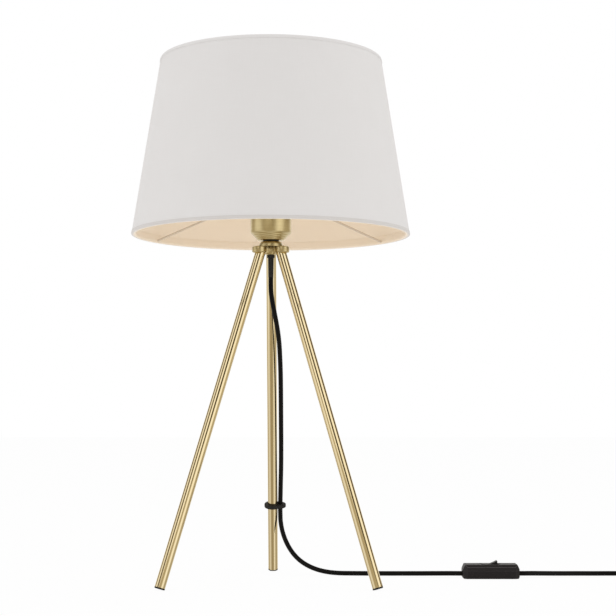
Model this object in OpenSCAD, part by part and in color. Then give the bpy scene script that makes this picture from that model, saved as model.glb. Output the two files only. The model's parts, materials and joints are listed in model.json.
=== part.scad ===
// Tripod table lamp: three slanted brass tubes under a trefoil hub, an E27 lampholder in a
// turned brass cup, a tapered fabric shade, and a lead with an in-line rocker switch and a plug.
// Millimetres, +Z up. The origin is on the floor, on the lamp's own axis. The front is -Y.

/* [Stand] */
// Outer diameter of a leg's tube
leg_d = 11; // [9:0.5:13]
// Wall of a leg's tube
leg_wall = 1; // [0.8:0.1:1.5]
// Radius at which a leg's axis meets the floor
foot_r = 129.2; // [120:0.2:138]
// How far a leg's axis moves outwards for each millimetre down
leg_slope = 0.33; // [0.3:0.01:0.35]
// Height of the cable clip on the back leg
clip_z = 76; // [60:1:110]

/* [Hub] */
// Height of the hub's underside
hub_z = 352.2; // [345:0.2:356]
// Thickness of the hub's trefoil
hub_h = 6.6; // [6:0.2:8]
// Radius of each of the hub's three lobes
lobe_r = 7.4; // [7:0.1:8.5]
// Distance of a lobe's centre from the axis
lobe_at = 14.4; // [13.8:0.1:15.5]
// Diameter of the round boss in the middle of the hub
boss_d = 11.4; // [10:0.1:12.4]
// Thread diameter of the tube that joins hub and lampholder
nipple_d = 8; // [7:0.5:9]

/* [Lampholder] */
// Outer diameter of the brass cup
cup_d = 44; // [42:0.2:48]
// Height of the cup, from its foot to its rim
cup_h = 44; // [40:0.2:52]
// Major diameter of the lamp cap, which names the E27 size
cap_d = 26.4; // [26:0.1:26.5]
// Pitch of the E27 thread
cap_pitch = 3.63; // [3.5:0.01:3.7]
// Diameter of the thread that carries the shade's ring
ring_thread_d = 39.4; // [38.6:0.2:39.8]

/* [Shade] */
// Outer diameter at the lower edge
shade_low_d = 300; // [280:2:320]
// Outer diameter at the upper edge
shade_top_d = 240; // [220:2:260]
// Height of the shade's lower edge above the floor
shade_z = 371; // [368:1:374]
// Height of the shade
shade_h = 191; // [180:1:210]
// Height of each hem
hem_h = 3.6; // [3.6:0.2:8]
// Diameter of the wire in each hem
wire_d = 2.6; // [2.2:0.1:3.5]
// How far the spokes are turned from the legs
spoke_turn = 2.5; // [0:0.5:20]

/* [Bulb] */
// Diameter of the bulb's globe
globe_d = 60; // [55:1:64]
// Height of the centre of the globe above the cup's foot
globe_up = 108; // [106:1:112]

/* [Cord] */
// Diameter of the round lead
cord_d = 5.2; // [5:0.1:5.4]
// Turns in each of the coil's two layers
layer_turns = 2.625; // [1.625:1:3.625]
// Radius of the coil's outermost turn
coil_r = 37; // [37:0.5:40]

/* [Switch] */
// Length of the in-line switch
switch_l = 62; // [60:1:66]
// Width of the switch
switch_w = 25.5; // [24:0.5:28]
// Height of the switch without its rocker
switch_h = 15.3; // [15.2:0.1:16]
// Half of the rocker's travel
rocker_tilt = 12; // [8:1:12]

/* [Plug] */
// Width of the flat two-pin plug
plug_w = 35.3; // [34.6:0.1:35.6]
// Thickness of the plug
plug_t = 13.7; // [13:0.1:14]
// Length of the plug's body
plug_l = 36; // [34:1:40]
// Distance between the centres of the pins
pin_gap = 18.6; // [18:0.1:19.2]

/* [Hidden] */
$fn = 96;

brass = "#c9b06f";
bright_brass = "#d8bf6a";
black = "#1c1c1e";
charcoal = "#38363a";
off_white = "#e9e7e3";
warm_white = "#f1e4d2";
nickel = "#c4c4c2";
ceramic = "#e8e4da";

fit = 0.05;      // gap round a piece that sits in another one
turning = 0.07;  // gap round a piece that turns in another one

// The legs: azimuths count from the front, and a leg's own z axis runs up along it from the floor.
LEFT = -60;
RIGHT = 60;
BACK = 180;
leg_lean = atan(leg_slope);
foot_flat = 0.5;         // depth of the flat that each foot stands on
foot_flange = 1.4;       // thickness of the black flange that shows under the tube
cap_bottom = (leg_d / 2 * sin(leg_lean) - foot_flat) / cos(leg_lean);
tube_bottom = cap_bottom + foot_flange;
seat_up = 1.5;           // how far into the hub a leg's axis runs
tube_top = (hub_z + seat_up) / cos(leg_lean);
stud_d = 6;
insert_l = 12;
stud_in_leg = 9;
stud_in_hub = 4;

// Heights of the stack on the axis, from the hub up.
hub_top = hub_z + hub_h;
boss_bottom = hub_z - 2.2;
nipple_bottom = boss_bottom + 2.5;
dome_h = 6;
dome_top = hub_top + dome_h;
washer_h = 1.2;
washer_r = 8.6;          // where the dome's curve ends too
cup_z = dome_top + washer_h;
cup_rim = cup_z + cup_h;
cup_wall = 1;
cup_foot_r = 14;
taper_top = cup_z + 8.2;
nut_h = 3.2;
nut_z = cup_z + cup_wall + 0.2;
nipple_top = nut_z + nut_h + 1.4;
nipple_bore = 6;

// The gland under the boss, and the taper that keeps the lead from kinking.
gland_collar_h = 3.2;
gland_taper_l = 20.8;
gland_z = boss_bottom - gland_collar_h - gland_taper_l;

// The lampholder's inside.
block_r = 19.5;
block_z = nut_z + nut_h;
block_top = cup_rim - 22;
shell_z = block_top + 10;
sleeve_top = cup_rim + 14;
shell_top = sleeve_top - 4;
shell_r = cap_d / 2 + 0.08;
shell_wall = 0.6;
contact_top = block_top + 8.4;

// The ring that holds the shade down, and the shade's fitter under it.
lift_gap = 0.05;
fitter_z = cup_rim + lift_gap;
fitter_h = 1.6;
fitter_r = 27.5;
ring_z = fitter_z + fitter_h + lift_gap;
ring_flange_h = 2.5;
ring_h = 8.4;

// The shade's wall, from its outer face inwards.
shade_slope = (shade_low_d - shade_top_d) / 2 / shade_h;
hem_t = 0.4;
fabric_t = 0.7;
liner_t = 0.5;
hem_gap = 0.1;           // gap round the wire in its hem
wire_in = hem_t + fabric_t + liner_t + hem_gap + wire_d / 2;   // the wire's centre, in from outside
shade_top = shade_z + shade_h;
spoke_d = wire_d - 0.2;

// The bulb, from its tip up.
tip_z = contact_top + 0.2;
tip_h = 1.6;
cap_z = tip_z + 5.4;
cap_top = cap_z + 21.4;
globe_z = cup_z + globe_up;
glass_t = 1;
neck_r = cap_d / 2 - 1.4;   // the glass inside the cap

// The lead, in round numbers: first down from the gland and along the floor to the switch.
floor_z = cord_d / 2;
switch_at = [240, 51];
switch_cord_z = 5;
lamp_route = [
    [0, 0, gland_z], [0, 0.2, 318.5], [0.3, 1.9, 309.5], [1.6, 6, 300], [4, 13.6, 287],
    [6.7, 23.6, 271.6], [8.5, 33.4, 256], [9.4, 42.5, 237], [9.8, 50.5, 219],
    [9.9, 59.5, 197], [9.9, 68.5, 174], [9.9, 78, 148], [9.7, 87.5, 122], [9.1, 96, 99],
    [8.6, 104.1, 76], [8.6, 106.8, 66], [9.1, 106.6, 56.5], [11.4, 103.4, 45.5],
    [15.6, 98.4, 34.8], [21.5, 93, 25.2], [29, 88, 17.2], [38.3, 83.6, 11], [49, 80, 6.6],
    [60.5, 77.2, 4], [73, 75.2, 2.85], [88, 74, 2.65], [105, 73, 2.65], [123, 70.6, 2.85],
    [142, 66, 3.35], [160, 60.4, 3.95], [177, 55.2, 4.55], [193, 51.9, 4.95],
    [204, 51, 5], [212, 51, 5]
];
// Then from the switch to the coil, which lies on its tie just beside the lamp.
coil_at = [420, 36.5];
coil_z = 3.7;
plug_side_route = [
    [268, 51, 5], [277, 51.2, 5], [286, 53.5, 4.8], [300, 58.5, 4.2], [320, 64.5, 3.5],
    [340, 69.5, 3], [362, 73, 2.6], [384, 73.5, 2.6], [398, 73.5, 2.9], [408, 73.5, 3.6],
    [414.8, 73.5, 3.7]
];
// And from the coil into the plug.
tail_route = [[457, 31.3, 9.5], [457, 26, 9.4], [457, 18, 7.8], [457, 11, 6.9], [457, 6, 6.85]];

// The coil: each layer's turns lie a pitch apart, and the lead climbs a layer in the half turn
// in which the spiral turns outwards again.
coil_pitch = cord_d + 0.6;
coil_steps = 24;
coil_sides = 6;
tube_sides = 10;
tie_angle = 225;

// The switch's inside, seen from its own middle.
wall = 1.8;
switch_split = 8.6;
ceiling_z = 12.9;
pivot_z = 11.2;
pivot_d = 3;
rocker_w = 9;
rocker_half = 8.5;
rocker_low = 4.6;        // height of the rocker's waist above its pivot
rocker_high = 6.35;      // height of its two ends
window_half = 9.9;
dish_r = 80;
dish_deep = 1;
post_r = 2.8;
posts = [[20, 8.6], [-20, -8.6]];

// The plug lies flat, with its pins towards the front.
plug_at = [457, 6, plug_t / 2];
relief_l = 25;
pin_d = 4;
pin_l = 19;
pin_bare = 9;
pin_root = 8;
pin_core = 2.8;          // diameter of a pin where it is moulded in or sleeved

// ---------- helpers ----------

function arc(at, r, from, to, steps) =
    [for (i = [0 : steps]) let (a = from + (to - from) * i / steps) at + r * [cos(a), sin(a)]];

// A curve through points, by Catmull and Rom's rule.
function between(a, b, c, d, t) = 0.5 * (2 * b + (c - a) * t
    + (2 * a - 5 * b + 4 * c - d) * t * t + (3 * b - a - 3 * c + d) * t * t * t);

function smooth_route(points, steps) = let (n = len(points) - 1) [
    for (i = [0 : n - 1])
        let (before = i == 0 ? 2 * points[0] - points[1] : points[i - 1],
             after = i == n - 1 ? 2 * points[n] - points[n - 1] : points[i + 2])
            for (k = [0 : steps - 1])
                between(before, points[i], points[i + 1], after, k / steps),
    points[n]
];

function unit(v) = v / norm(v);

// The direction of a path at point i.
function along(path, i) =
    unit(path[min(i + 1, len(path) - 1)] - path[max(i - 1, 0)]);

// A round tube of triangles along a path. No part of the path may run along side.
module tube(path, d, sides, side) {
    n = len(path);
    ring = [for (i = [0 : n - 1])
        let (t = along(path, i), u = unit(cross(side, t)), v = cross(t, u))
            for (k = [0 : sides - 1])
                let (a = 360 * (k + 0.5) / sides)
                    path[i] + d / 2 * (cos(a) * u + sin(a) * v)];
    walls = [for (i = [0 : n - 2], k = [0 : sides - 1])
        let (a = i * sides + k, b = i * sides + (k + 1) % sides)
            for (f = [[a, b, b + sides], [a, b + sides, a + sides]]) f];
    first = [for (k = [1 : sides - 2]) [0, k + 1, k]];
    last = [for (k = [1 : sides - 2]) (n - 1) * sides * [1, 1, 1] + [0, k, k + 1]];
    polyhedron([for (p = ring) p], concat(walls, first, last));
}

module disc(r, h, z = 0) {
    translate([0, 0, z]) cylinder(r = r, h = h);
}

// A ring with square edges, from z up.
module washer(r_out, r_in, h, z) {
    translate([0, 0, z]) rotate_extrude()
        translate([r_in, 0]) square([r_out - r_in, h]);
}

// Places its children on the leg at azimuth a, up along its axis.
module on_leg(a, up = 0) {
    rotate([0, 0, a]) translate([0, -foot_r, 0])
        rotate([-leg_lean, 0, 0]) translate([0, 0, up]) children();
}

// ---------- stand ----------

module leg(a) {
    color(brass) on_leg(a, tube_bottom) difference() {
        cylinder(d = leg_d, h = tube_top - tube_bottom);
        translate([0, 0, -1]) cylinder(d = leg_d - 2 * leg_wall, h = tube_top);
    }
}

// A black plug in the tube's end, ground flat where it stands.
module foot_cap(a) {
    edge = 0.5;
    stem_r = leg_d / 2 - leg_wall - fit;
    color(black) difference() {
        on_leg(a, cap_bottom) rotate_extrude() polygon([
            [0, 0], [leg_d / 2 - edge, 0], [leg_d / 2, edge], [leg_d / 2, foot_flange],
            [stem_r, foot_flange], [stem_r, 10], [stem_r - 1, 12], [0, 12]
        ]);
        translate([-foot_r * 1.5, -foot_r * 1.5, -5]) cube([foot_r * 3, foot_r * 3, 5]);
    }
}

// Threaded bushes pressed into the tops of the tubes.
module leg_inserts() {
    color(bright_brass) for (a = [LEFT, RIGHT, BACK])
        on_leg(a, tube_top - insert_l) difference() {
            cylinder(r = leg_d / 2 - leg_wall - fit, h = insert_l);
            translate([0, 0, -1]) cylinder(d = stud_d, h = insert_l + 2);
        }
}

// Studs that screw through the bushes up into the hub.
module leg_studs() {
    color(nickel) for (a = [LEFT, RIGHT, BACK])
        on_leg(a, tube_top - stud_in_leg)
            cylinder(d = stud_d, h = stud_in_leg + stud_in_hub);
}

// The trefoil: a round boss, and three lobes whose slanted seats take the legs square on.
module hub() {
    bevel = 0.8;
    boss_round = 2.8;
    web_half = lobe_r * 0.42;
    color(brass) difference() {
        union() {
            rotate_extrude() polygon(concat(
                [[0, boss_bottom]],
                arc([boss_d / 2 - boss_round, boss_bottom + boss_round], boss_round, -90, 0, 6),
                [[boss_d / 2, hub_top], [0, hub_top]]));
            for (a = [LEFT, RIGHT, BACK]) rotate([0, 0, a]) {
                translate([0, -lobe_at, hub_z]) rotate_extrude() polygon([
                    [0, 0], [lobe_r - bevel, 0], [lobe_r, bevel],
                    [lobe_r, hub_h - bevel], [lobe_r - bevel, hub_h], [0, hub_h]
                ]);
                translate([-web_half, -lobe_at, hub_z]) cube([2 * web_half, lobe_at, hub_h]);
            }
        }
        disc(nipple_bore / 2 + 0.2, 10, boss_bottom - 1);
        disc(nipple_d / 2 + fit, hub_h + 5, nipple_bottom);
        for (a = [LEFT, RIGHT, BACK]) {
            on_leg(a, tube_top - 14) cylinder(r = leg_d / 2 + fit, h = 14);
            on_leg(a, tube_top - 1) cylinder(r = stud_d / 2 + fit, h = stud_in_hub + 1);
        }
    }
}

// A pressed dome over the hub, open underneath.
module dome_collar() {
    low = 13.3;
    skin = 1.2;
    color(brass) rotate_extrude() polygon(concat(
        [[low - skin, hub_top]],
        [for (i = [0 : 10]) let (t = 9 * i)
            [washer_r + (low - washer_r) * cos(t), hub_top + dome_h * sin(t)]],
        [[nipple_d / 2 + fit, dome_top], [nipple_d / 2 + fit, dome_top - skin]],
        [for (i = [9 : -1 : 1]) let (t = 9 * i)
            [washer_r - skin + (low - washer_r) * cos(t), hub_top + (dome_h - skin) * sin(t)]]
    ));
}

module insulating_washer() {
    color(black) washer(washer_r, nipple_d / 2 + fit, washer_h, dome_top);
}

module threaded_nipple() {
    color(nickel) washer(nipple_d / 2, nipple_bore / 2, nipple_top - nipple_bottom, nipple_bottom);
}

module lock_nut() {
    across_corners = 15;
    color(nickel) difference() {
        translate([0, 0, cup_z + cup_wall]) cylinder(d = across_corners, h = nut_h + 0.2, $fn = 6);
        disc(nipple_d / 2 + fit, nut_h + 4, cup_z - 1);
    }
}

// Black rubber, in the shape of an eight: one eye on the back leg, one round the lead.
module cable_clip() {
    thick = 4;
    round_off = 0.8;
    leg_eye = leg_d / 2 + 3.9;
    cord_eye = 6.3;
    cord_x = -8.6;
    color(black) on_leg(BACK, clip_z / cos(leg_lean) - thick / 2) difference() {
        union() for (eye = [[0, leg_eye], [cord_x, cord_eye]])
            translate([eye[0], 0, 0]) rotate_extrude() polygon(concat(
                [[0, 0]],
                arc([eye[1] - round_off, round_off], round_off, -90, 0, 4),
                arc([eye[1] - round_off, thick - round_off], round_off, 0, 90, 4),
                [[0, thick]]));
        translate([0, 0, -1]) cylinder(r = leg_d / 2 + fit, h = thick + 2);
        translate([cord_x, 0, -1]) cylinder(r = cord_d / 2 + 0.15, h = thick + 2);
    }
}

// The collar under the boss, and the tapered sleeve that the lead hangs from.
module cord_gland() {
    collar_r = 4.1;
    taper_r = 3.1;
    color(black) rotate_extrude() polygon([
        [0, gland_z], [cord_d / 2 + 0.15, gland_z],
        [taper_r, boss_bottom - gland_collar_h], [collar_r, boss_bottom - gland_collar_h + 0.5],
        [collar_r, boss_bottom], [nipple_bore / 2 + 0.15, boss_bottom],
        [nipple_bore / 2 + 0.15, nipple_bottom], [0, nipple_bottom]
    ]);
}

// The lead's two cores, up through the nipple to the terminals.
module core_wires() {
    core_d = 2.2;
    for (side = [-1, 1])
        color(side < 0 ? "#6b3f22" : "#2f6fb3")
            translate([side * 1.4, 0, nipple_bottom])
                cylinder(d = core_d, h = nipple_top + 4 - nipple_bottom);
}

// ---------- lampholder ----------

// Turned from brass: a coned foot with three grooves, then a plain wall up to the rim.
module holder_cup() {
    r = cup_d / 2;
    groove = 0.45;
    groove_half = 0.5;
    grooves = 3;
    step = 2.1;
    slope = (r - cup_foot_r) / (taper_top - cup_z);
    start = cup_z + 1.6;
    color(brass) rotate_extrude() polygon(concat(
        [[nipple_d / 2 + fit, cup_z], [cup_foot_r, cup_z]],
        [for (i = [0 : grooves - 1], k = [-1, 0, 1])
            let (z = start + i * step + k * groove_half)
                [cup_foot_r + slope * (z - cup_z) - (k == 0 ? groove : 0), z]],
        [[r, taper_top], [r, cup_rim], [r - cup_wall, cup_rim],
         [r - cup_wall, taper_top + 0.6], [cup_foot_r - 0.8, cup_z + cup_wall],
         [nipple_d / 2 + fit, cup_z + cup_wall]]
    ));
}

// The insulating block that stands on the nut and carries the contacts.
module terminal_block() {
    color(ceramic) difference() {
        union() {
            disc(8.5, 5, block_z);
            disc(block_r, block_top - block_z - 4, block_z + 4);
        }
        disc(nipple_d / 2 + 0.3, nipple_top + 4 - block_z, block_z);
        for (side = [-1, 1]) translate([side * 13, 0, block_z + 6])
            cylinder(d = 4, h = block_top);
    }
}

module terminal_screws() {
    color(nickel) for (side = [-1, 1]) translate([side * 13, 0, 0]) difference() {
        union() {
            disc(1.9, block_top - block_z - 6, block_z + 6);
            disc(3, 1.8, block_top);
        }
        translate([-4, -0.4, block_top + 1]) cube([8, 0.8, 2]);
    }
}

// A sprung strip, bent up in the middle to meet the tip of the lamp cap.
module centre_contact() {
    strip = 0.6;
    half = 5.4;
    up = contact_top - block_top;
    color(bright_brass) translate([0, 2.5, block_top]) rotate([90, 0, 0])
        linear_extrude(5) difference() {
            intersection() {
                translate([0, up - half]) circle(r = half);
                translate([-half, 0]) square([2 * half, up]);
            }
            translate([0, up - half]) circle(r = half - strip);
        }
}

// An upright strip that touches the side of the lamp cap's shell.
module side_contact() {
    color(bright_brass) translate([-3, -shell_r - shell_wall - 0.5, block_top])
        cube([6, 0.5, shell_z + 4 - block_top]);
}

module screw_shell() {
    color(bright_brass) washer(shell_r + shell_wall, shell_r, shell_top - shell_z, shell_z);
}

// The insulating sleeve: inside the cup below, with the shade ring's thread above the rim.
module holder_sleeve() {
    mouth_r = 14.3;
    bore = shell_r + shell_wall + fit;
    low_r = cup_d / 2 - cup_wall - fit;
    color(off_white) difference() {
        rotate_extrude() polygon([
            [12, block_top], [low_r, block_top], [low_r, cup_rim - 0.4],
            [ring_thread_d / 2, cup_rim - 0.4], [ring_thread_d / 2, sleeve_top - 0.8],
            [ring_thread_d / 2 - 0.8, sleeve_top], [mouth_r + 0.6, sleeve_top],
            [mouth_r, sleeve_top - 0.6], [mouth_r, shell_top], [bore, shell_top],
            [bore, shell_z], [12, shell_z]
        ]);
        translate([-3.2, -bore - 0.8, block_top - 1]) cube([6.4, 6, shell_z + 5.2 - block_top]);
        for (side = [-1, 1]) translate([side * 13, 0, block_top - 1]) cylinder(r = 3.2, h = 3);
    }
}

// ---------- shade ----------

// The ring that screws down on the fitter, with scallops for the fingers.
module shade_ring() {
    bore = ring_thread_d / 2 + turning;
    grip_r = 23.8;
    scallops = 18;
    color(off_white) difference() {
        translate([0, 0, ring_z]) rotate_extrude() polygon([
            [bore, 0], [26.5, 0], [26.5, ring_flange_h], [grip_r, ring_flange_h],
            [grip_r, ring_h - 0.6], [grip_r - 0.6, ring_h], [bore, ring_h]
        ]);
        for (i = [0 : scallops - 1]) rotate([0, 0, 360 * i / scallops])
            translate([grip_r + 1, 0, ring_z + ring_flange_h]) cylinder(r = 1.8, h = ring_h, $fn = 32);
    }
}

module shade_fitter() {
    color(off_white) washer(fitter_r, cup_d / 2 - 1.5, fitter_h, fitter_z);
}

// The outer face of the shade's wall at a height, and other faces further in.
function wall_r(z, inward = 0) = shade_low_d / 2 - (z - shade_z) * shade_slope - inward;

low_wire_z = shade_z + hem_t + hem_gap + wire_d / 2;
top_wire_z = shade_top - hem_t - hem_gap - wire_d / 2;

module hem_wire(z) {
    color(off_white) rotate_extrude()
        translate([wall_r(z, wire_in), z]) circle(d = wire_d, $fn = 48);
}

// Three wires from the lower wire up to the fitter, with their ends cut to what they meet.
module spoke_rods(d) {
    from = [wall_r(low_wire_z, wire_in), low_wire_z];
    to = [fitter_r - 1, fitter_z + fitter_h / 2];
    rise = atan2(to[1] - from[1], from[0] - to[0]);
    for (a = [0, 120, 240]) rotate([0, 0, a + spoke_turn]) translate([0, -from[0], from[1]])
        rotate([rise - 90, 0, 0]) cylinder(d = d, h = norm(from - to));
}

module shade_spokes() {
    color(off_white) difference() {
        spoke_rods(spoke_d);
        hem_wire(low_wire_z);
        disc(fitter_r, fitter_h + 4, fitter_z - 2);
    }
}

// A sloping ring of the wall between two depths and two heights.
module wall_skin(outer, inner, low, high) {
    rotate_extrude() polygon([
        [wall_r(low, outer), low], [wall_r(high, outer), high],
        [wall_r(high, inner), high], [wall_r(low, inner), low]
    ]);
}

module shade_liner() {
    color(warm_white) wall_skin(hem_t + fabric_t, hem_t + fabric_t + liner_t,
        shade_z + hem_t, shade_top - hem_t);
}

module shade_fabric() {
    color(off_white) wall_skin(hem_t, hem_t + fabric_t, shade_z + hem_t, shade_top - hem_t);
}

// The folded edge that wraps the wire: out over the fabric, round it, and in behind it.
// edge is the shade's end, and up is 1 at its lower edge and -1 at its upper one.
module hem(edge, up) {
    back = wire_in + wire_d / 2 + hem_gap;
    outer_end = edge + up * hem_h;
    inner_end = edge + up * (hem_t + wire_d + 2 * hem_gap);
    turn = edge + up * hem_t;
    rotate_extrude() polygon([
        [wall_r(edge, 0.3), edge], [wall_r(turn), turn],
        [wall_r(outer_end), outer_end], [wall_r(outer_end, hem_t), outer_end],
        [wall_r(turn, hem_t), turn], [wall_r(turn, back), turn],
        [wall_r(inner_end, back), inner_end], [wall_r(inner_end, back + hem_t), inner_end],
        [wall_r(turn, back + hem_t), turn], [wall_r(edge, back + 0.1), edge]
    ]);
}

// The lower hem is notched behind, where the spokes leave the wire.
module shade_low_hem() {
    color(off_white) difference() {
        hem(shade_z, 1);
        spoke_rods(spoke_d + 0.2);
    }
}

module shade_top_hem() {
    color(off_white) hem(shade_top, -1);
}

// ---------- bulb ----------

// The globe's outline from the cap up: a neck, a hollow curve and the round top.
function globe_outline(in) =
    let (r = globe_d / 2 - in, neck = 14.5 - in, hollow = 45 + in,
         drop = sqrt((hollow + r) * (hollow + r) - (neck + hollow) * (neck + hollow)),
         turn = atan2(drop, neck + hollow))
    concat(
        arc([neck + hollow, globe_z - drop], hollow, 180, 180 - turn, 12),
        arc([0, globe_z], r, -turn, 90, 30));

module bulb_globe() {
    shoulder = sleeve_top + 0.4;
    outline = globe_outline(0);
    inner = globe_outline(glass_t);
    color("#fbf6ec", 0.9) rotate_extrude() polygon(concat(
        [[neck_r - glass_t, cap_top - 8], [neck_r, cap_top - 8], [neck_r, shoulder],
         [outline[0][0], shoulder]],
        [for (i = [0 : len(outline) - 2]) outline[i]],
        [[0, globe_z + globe_d / 2], [0, globe_z + globe_d / 2 - glass_t]],
        [for (i = [len(inner) - 2 : -1 : 0]) inner[i]],
        [[neck_r - glass_t, inner[0][1] - 2]]
    ));
}

// The glass stem, flared where it is sealed to the neck, and drawn out above.
module bulb_stem() {
    foot = cap_top - 8;
    color("#dfe6e8", 0.5) rotate_extrude() polygon([
        [0, foot], [neck_r - glass_t - fit, foot], [5, foot + 4], [3.5, foot + 14],
        [2, foot + 30], [2, globe_z + 10], [0, globe_z + 12]
    ]);
}

module bulb_filaments() {
    count = 4;
    color("#e8c26a") for (i = [0 : count - 1]) rotate([0, 0, 360 * i / count])
        translate([7, 0, globe_z - 26]) rotate([0, 8, 0]) cylinder(d = 2, h = 34);
}

// The rolled E27 shell, with its crests drawn as rings.
module bulb_cap() {
    r = cap_d / 2;
    root = r - 0.9;
    crests = 4;
    first = cap_z + 2.4;
    color(nickel) rotate_extrude() polygon(concat(
        [[10.8, cap_z], [11.4, cap_z]],
        [for (i = [0 : crests - 1], k = [0 : 7])
            let (z = first + cap_pitch * (i + k / 8))
                [root + (r - root) * (1 - cos(45 * k)) / 2, z]],
        [[root, first + cap_pitch * crests], [r - 0.1, cap_top - 2], [r + 0.5, cap_top - 0.6],
         [r + 0.5, cap_top], [neck_r + fit, cap_top], [neck_r + fit, first], [10.8, cap_z + 1]]
    ));
}

module bulb_insulator() {
    color(black) rotate_extrude() polygon([
        [0, tip_z + tip_h], [4.6, tip_z + tip_h], [10.8 - fit, cap_z],
        [10.8 - fit, cap_z + 1.5], [0, cap_z + 1.5]
    ]);
}

module bulb_tip() {
    color(nickel) rotate_extrude() polygon(concat(
        [[0, tip_z + tip_h - fit]], [[4.4, tip_z + tip_h - fit]],
        [for (i = [0 : 6]) let (t = 15 * i)
            [4.4 * cos(t), tip_z + (tip_h - fit) * 0.8 * (1 - sin(t))]]
    ));
}

// ---------- switch ----------

module at_switch() {
    translate([switch_at[0], switch_at[1], 0]) children();
}

// The housing's outline, cut by its plan and its two side views.
module switch_envelope(low, high) {
    half_l = switch_l / 2;
    half_w = switch_w / 2;
    corner = 5;
    bevel = 2.6;
    foot = 1;
    intersection() {
        linear_extrude(switch_h) polygon([
            [-half_l, corner - half_w], [corner - half_l, -half_w],
            [half_l - corner, -half_w], [half_l, corner - half_w],
            [half_l, half_w - corner], [half_l - corner, half_w],
            [corner - half_l, half_w], [-half_l, half_w - corner]
        ]);
        translate([0, half_w, 0]) rotate([90, 0, 0]) linear_extrude(switch_w) polygon([
            [foot - half_l, 0], [half_l - foot, 0], [half_l, 2 * foot],
            [half_l, switch_h - 2 * bevel], [half_l - bevel, switch_h],
            [bevel - half_l, switch_h], [-half_l, switch_h - 2 * bevel], [-half_l, 2 * foot]
        ]);
        translate([-half_l, 0, 0]) rotate([90, 0, 90]) linear_extrude(switch_l) polygon([
            [foot - half_w, 0], [half_w - foot, 0], [half_w, foot],
            [half_w, switch_h - bevel], [half_w - bevel, switch_h],
            [bevel - half_w, switch_h], [-half_w, switch_h - bevel], [-half_w, foot]
        ]);
        translate([-half_l, -half_w, low]) cube([switch_l, switch_w, high - low]);
    }
}

// Half the length of the housing's hollow.
hollow_half = switch_l / 2 - wall - 2;

module switch_hollow(low, high) {
    half_w = switch_w / 2 - wall;
    translate([-hollow_half, -half_w, low]) cube([2 * hollow_half, 2 * half_w, high - low]);
}

// The lower shell: a tray with two screw posts and a grip for the lead at each end.
module switch_base() {
    grip = 4;
    color(charcoal) at_switch() difference() {
        union() {
            difference() {
                switch_envelope(0, switch_split);
                switch_hollow(wall, switch_split + 1);
            }
            for (p = posts) translate([p[0], p[1], wall]) cylinder(r = post_r, h = switch_split - wall);
        }
        for (end = [-1, 1]) translate([end * (switch_l / 2 + 1 - grip / 2), 0, switch_cord_z])
            rotate([0, 90, 0]) cylinder(r = cord_d / 2 + 0.15, h = grip + 2, center = true);
        for (p = posts) translate([p[0], p[1], 0]) {
            translate([0, 0, -1]) cylinder(d = 2.5, h = switch_split + 2);
            translate([0, 0, -1]) cylinder(d = 5.2, h = 3);
        }
    }
}

// The upper shell: a shallow dish round the rocker's window, and two cheeks for its pivot.
module switch_cover() {
    window_w = rocker_w + 0.6;
    cheek = 2.2;
    cheek_half = 3.5;
    cheek_z = 8.9;
    color(charcoal) at_switch() difference() {
        union() {
            difference() {
                switch_envelope(switch_split, switch_h);
                switch_hollow(switch_split - 1, ceiling_z);
            }
            for (side = [-1, 1])
                translate([-cheek_half, (side * (window_w + cheek) - cheek) / 2, cheek_z])
                    cube([2 * cheek_half, cheek, ceiling_z - cheek_z]);
            for (p = posts) translate([p[0], p[1], switch_split])
                cylinder(r = post_r, h = ceiling_z - switch_split);
        }
        translate([-window_half, -window_w / 2, switch_split]) cube([2 * window_half, window_w, 10]);
        translate([0, 7, switch_h - dish_deep + dish_r]) rotate([90, 0, 0])
            cylinder(r = dish_r, h = 14, $fn = 360);
        translate([0, 10, pivot_z]) rotate([90, 0, 0])
            cylinder(r = pivot_d / 2 + fit, h = 20);
        for (p = posts) translate([p[0], p[1], switch_split - 1]) cylinder(d = 2.5, h = 3.9);
    }
}

// Places its children on the rocker's pivot, tilted as the rocker rests.
module at_pivot() {
    at_switch() translate([0, 0, pivot_z]) rotate([0, -rocker_tilt, 0]) children();
}

// The rocker, hollow-backed like a shallow V, on two stub pivots.
module switch_rocker() {
    color(black) at_pivot() union() {
        translate([0, rocker_w / 2, 0]) rotate([90, 0, 0]) linear_extrude(rocker_w) polygon([
            [-rocker_half, rocker_high], [-rocker_half / 2, (rocker_high + rocker_low) / 2 - 0.25],
            [0, rocker_low], [rocker_half / 2, (rocker_high + rocker_low) / 2 - 0.25],
            [rocker_half, rocker_high], [rocker_half - 0.6, 0],
            [6, -3], [-6, -3], [0.6 - rocker_half, 0]
        ]);
        translate([0, rocker_w / 2 + 2.1, 0]) rotate([90, 0, 0])
            cylinder(d = pivot_d, h = rocker_w + 4.2);
    }
}

// The moving contact under the rocker, a brass T that meets one side or the other.
module switch_bridge() {
    color(bright_brass) at_pivot() translate([0, 2, 0]) rotate([90, 0, 0])
        linear_extrude(4) polygon([
            [-1, -3], [1, -3], [1, -5.9], [8.8, -5.9], [8.8, -6.5],
            [-8.8, -6.5], [-8.8, -5.9], [-1, -5.9]
        ]);
}

module switch_contacts() {
    color(bright_brass) at_switch() for (side = [-1, 1])
        translate([side * 11 - 5.5, -3, wall]) cube([11, 6, 0.7]);
}

module switch_screws() {
    color(nickel) at_switch() for (p = posts) translate([p[0], p[1], 0]) difference() {
        union() {
            disc(2.4, 1.5, 0.5);
            disc(1.2, 9, 2);
        }
        translate([-3, -0.35, 0]) cube([6, 0.7, 1.1]);
    }
}

// ---------- lead ----------

module cord_lamp_side() {
    color(black) tube(smooth_route(lamp_route, 2), cord_d, tube_sides, [0, 1, 0]);
}

module cord_plug_side() {
    color(black) tube(smooth_route(plug_side_route, 2), cord_d, tube_sides, [0, 1, 0]);
}

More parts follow.
